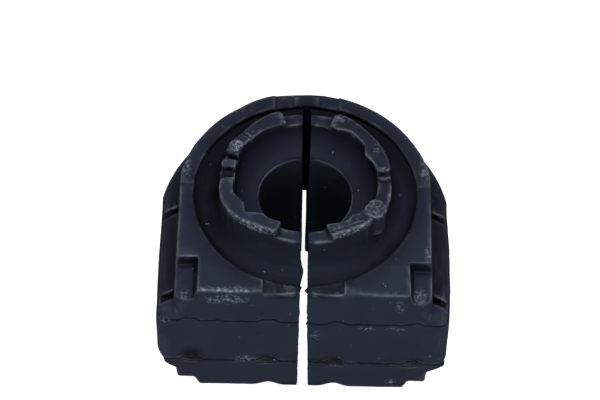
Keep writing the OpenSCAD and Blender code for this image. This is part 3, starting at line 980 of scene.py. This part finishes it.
# The photograph's view, from a camera fitted to the edges of the object: angles in degrees, distance
# and shifts in metres.
CAMERA_TILT, CAMERA_TURN, CAMERA_ROLL = 53.683, -0.294, 1.505
CAMERA_FAR, CAMERA_UP, CAMERA_LEFT = 0.63294, 0.010456, 0.000936
FOCAL_PX, FRAME_PX, SENSOR_MM = 2615.74, 600, 36.0
# Soft lamps: name, place in metres and power in watts.
LAMPS = [("top", (0.0, 0.05, 1.0), 15.3), ("front", (0.0, -0.9, 0.35), 10.0)]
LAMP_SIZE = 0.7
WORLD_LIGHT = 0.22
FLOOR_HALF = 2.5
FLOOR_GAP = 0.0002
FLOOR_GLOW = (0.1, 0.88)  # on the object, and as the camera sees it


def camera_frame():
    """Right, up and backward directions of a camera that looks down on the base."""
    tilt, turn, roll = (math.radians(angle) for angle in (CAMERA_TILT, CAMERA_TURN, CAMERA_ROLL))
    back = Vector((math.sin(turn) * math.cos(tilt), -math.cos(turn) * math.cos(tilt), math.sin(tilt)))
    right = Vector((math.cos(turn), math.sin(turn), 0))
    up = back.cross(right)
    across = math.cos(roll) * right + math.sin(roll) * up
    above = math.cos(roll) * up - math.sin(roll) * right
    return across, above, back


class BUSHING_OT_stage(bpy.types.Operator):
    """Set the pale floor, the soft lights and the camera"""
    bl_idname = "bushing.stage"
    bl_label = "Stage"

    def execute(self, context):
        finish = context.scene.bushing_finish
        right, up, back = camera_frame()
        data = bpy.data.cameras.new("camera")
        data.sensor_width = SENSOR_MM
        data.lens = FOCAL_PX * SENSOR_MM / FRAME_PX
        data.clip_start = 0.01
        camera = bpy.data.objects.new("camera", data)
        place = CAMERA_FAR * back + CAMERA_UP * up - CAMERA_LEFT * right
        camera.matrix_world = Matrix((right, up, back)).transposed().to_4x4()
        camera.location = place
        context.scene.collection.objects.link(camera)
        context.scene.camera = camera

        mesh = bpy.data.meshes.new("floor")
        turns = ((-1, -1), (1, -1), (1, 1), (-1, 1))
        mesh.from_pydata([(x * FLOOR_HALF, y * FLOOR_HALF, 0) for x, y in turns], [], [(0, 1, 2, 3)])
        floor = bpy.data.objects.new("floor", mesh)
        floor.location.z = LOW.z - FLOOR_GAP
        material = bpy.data.materials.new("pale_floor")
        material.use_nodes = True
        shader = material.node_tree.nodes["Principled BSDF"]
        shader.inputs["Base Color"].default_value = finish.floor
        shader.inputs["Roughness"].default_value = 0.9
        shader.inputs["Emission Color"].default_value = (1, 1, 1, 1)
        path = add_node(material.node_tree, "ShaderNodeLightPath", (-600, -200))
        seen = path.outputs["Is Camera Ray"]
        glow = spread(material.node_tree, seen, 0.0, 1.0, (-300, -200), *FLOOR_GLOW)
        link(material.node_tree, glow, shader.inputs["Emission Strength"])
        mesh.materials.append(material)
        context.scene.collection.objects.link(floor)

        world = bpy.data.worlds.new("studio")
        world.use_nodes = True
        world.node_tree.nodes["Background"].inputs["Color"].default_value = (1, 1, 1, 1)
        world.node_tree.nodes["Background"].inputs["Strength"].default_value = WORLD_LIGHT
        context.scene.world = world
        context.scene.view_settings.view_transform = "Standard"
        for name, spot, power in LAMPS:
            lamp = bpy.data.lights.new(name, "AREA")
            lamp.size = LAMP_SIZE
            lamp.energy = power
            made = bpy.data.objects.new(name, lamp)
            made.location = spot
            made.rotation_euler = (-Vector(spot)).to_track_quat("-Z", "Y").to_euler()
            context.scene.collection.objects.link(made)
        return {"FINISHED"}


class BUSHING_PT_panel(bpy.types.Panel):
    """Sizes, finish and steps"""
    bl_label = "Sway bar bushing"
    bl_idname = "BUSHING_PT_panel"
    bl_space_type = "VIEW_3D"
    bl_region_type = "UI"
    bl_category = "Bushing"

    def draw(self, context):
        for group in (context.scene.bushing_sizes, context.scene.bushing_finish):
            box = self.layout.box()
            for name in group.__annotations__:
                box.prop(group, name)
        for step in STEPS:
            self.layout.operator(step.bl_idname)


STEPS = [BUSHING_OT_block, BUSHING_OT_stage]
CLASSES = [BushingSizes, BushingFinish, *STEPS, BUSHING_PT_panel]


def register():
    for item in CLASSES:
        bpy.utils.register_class(item)
    bpy.types.Scene.bushing_sizes = bpy.props.PointerProperty(type=BushingSizes)
    bpy.types.Scene.bushing_finish = bpy.props.PointerProperty(type=BushingFinish)


def unregister():
    del bpy.types.Scene.bushing_finish
    del bpy.types.Scene.bushing_sizes
    for item in reversed(CLASSES):
        bpy.utils.unregister_class(item)


def main():
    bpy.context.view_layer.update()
    register()
    bpy.ops.bushing.block()
    bpy.ops.bushing.stage()


if __name__ == "__main__":
    main()
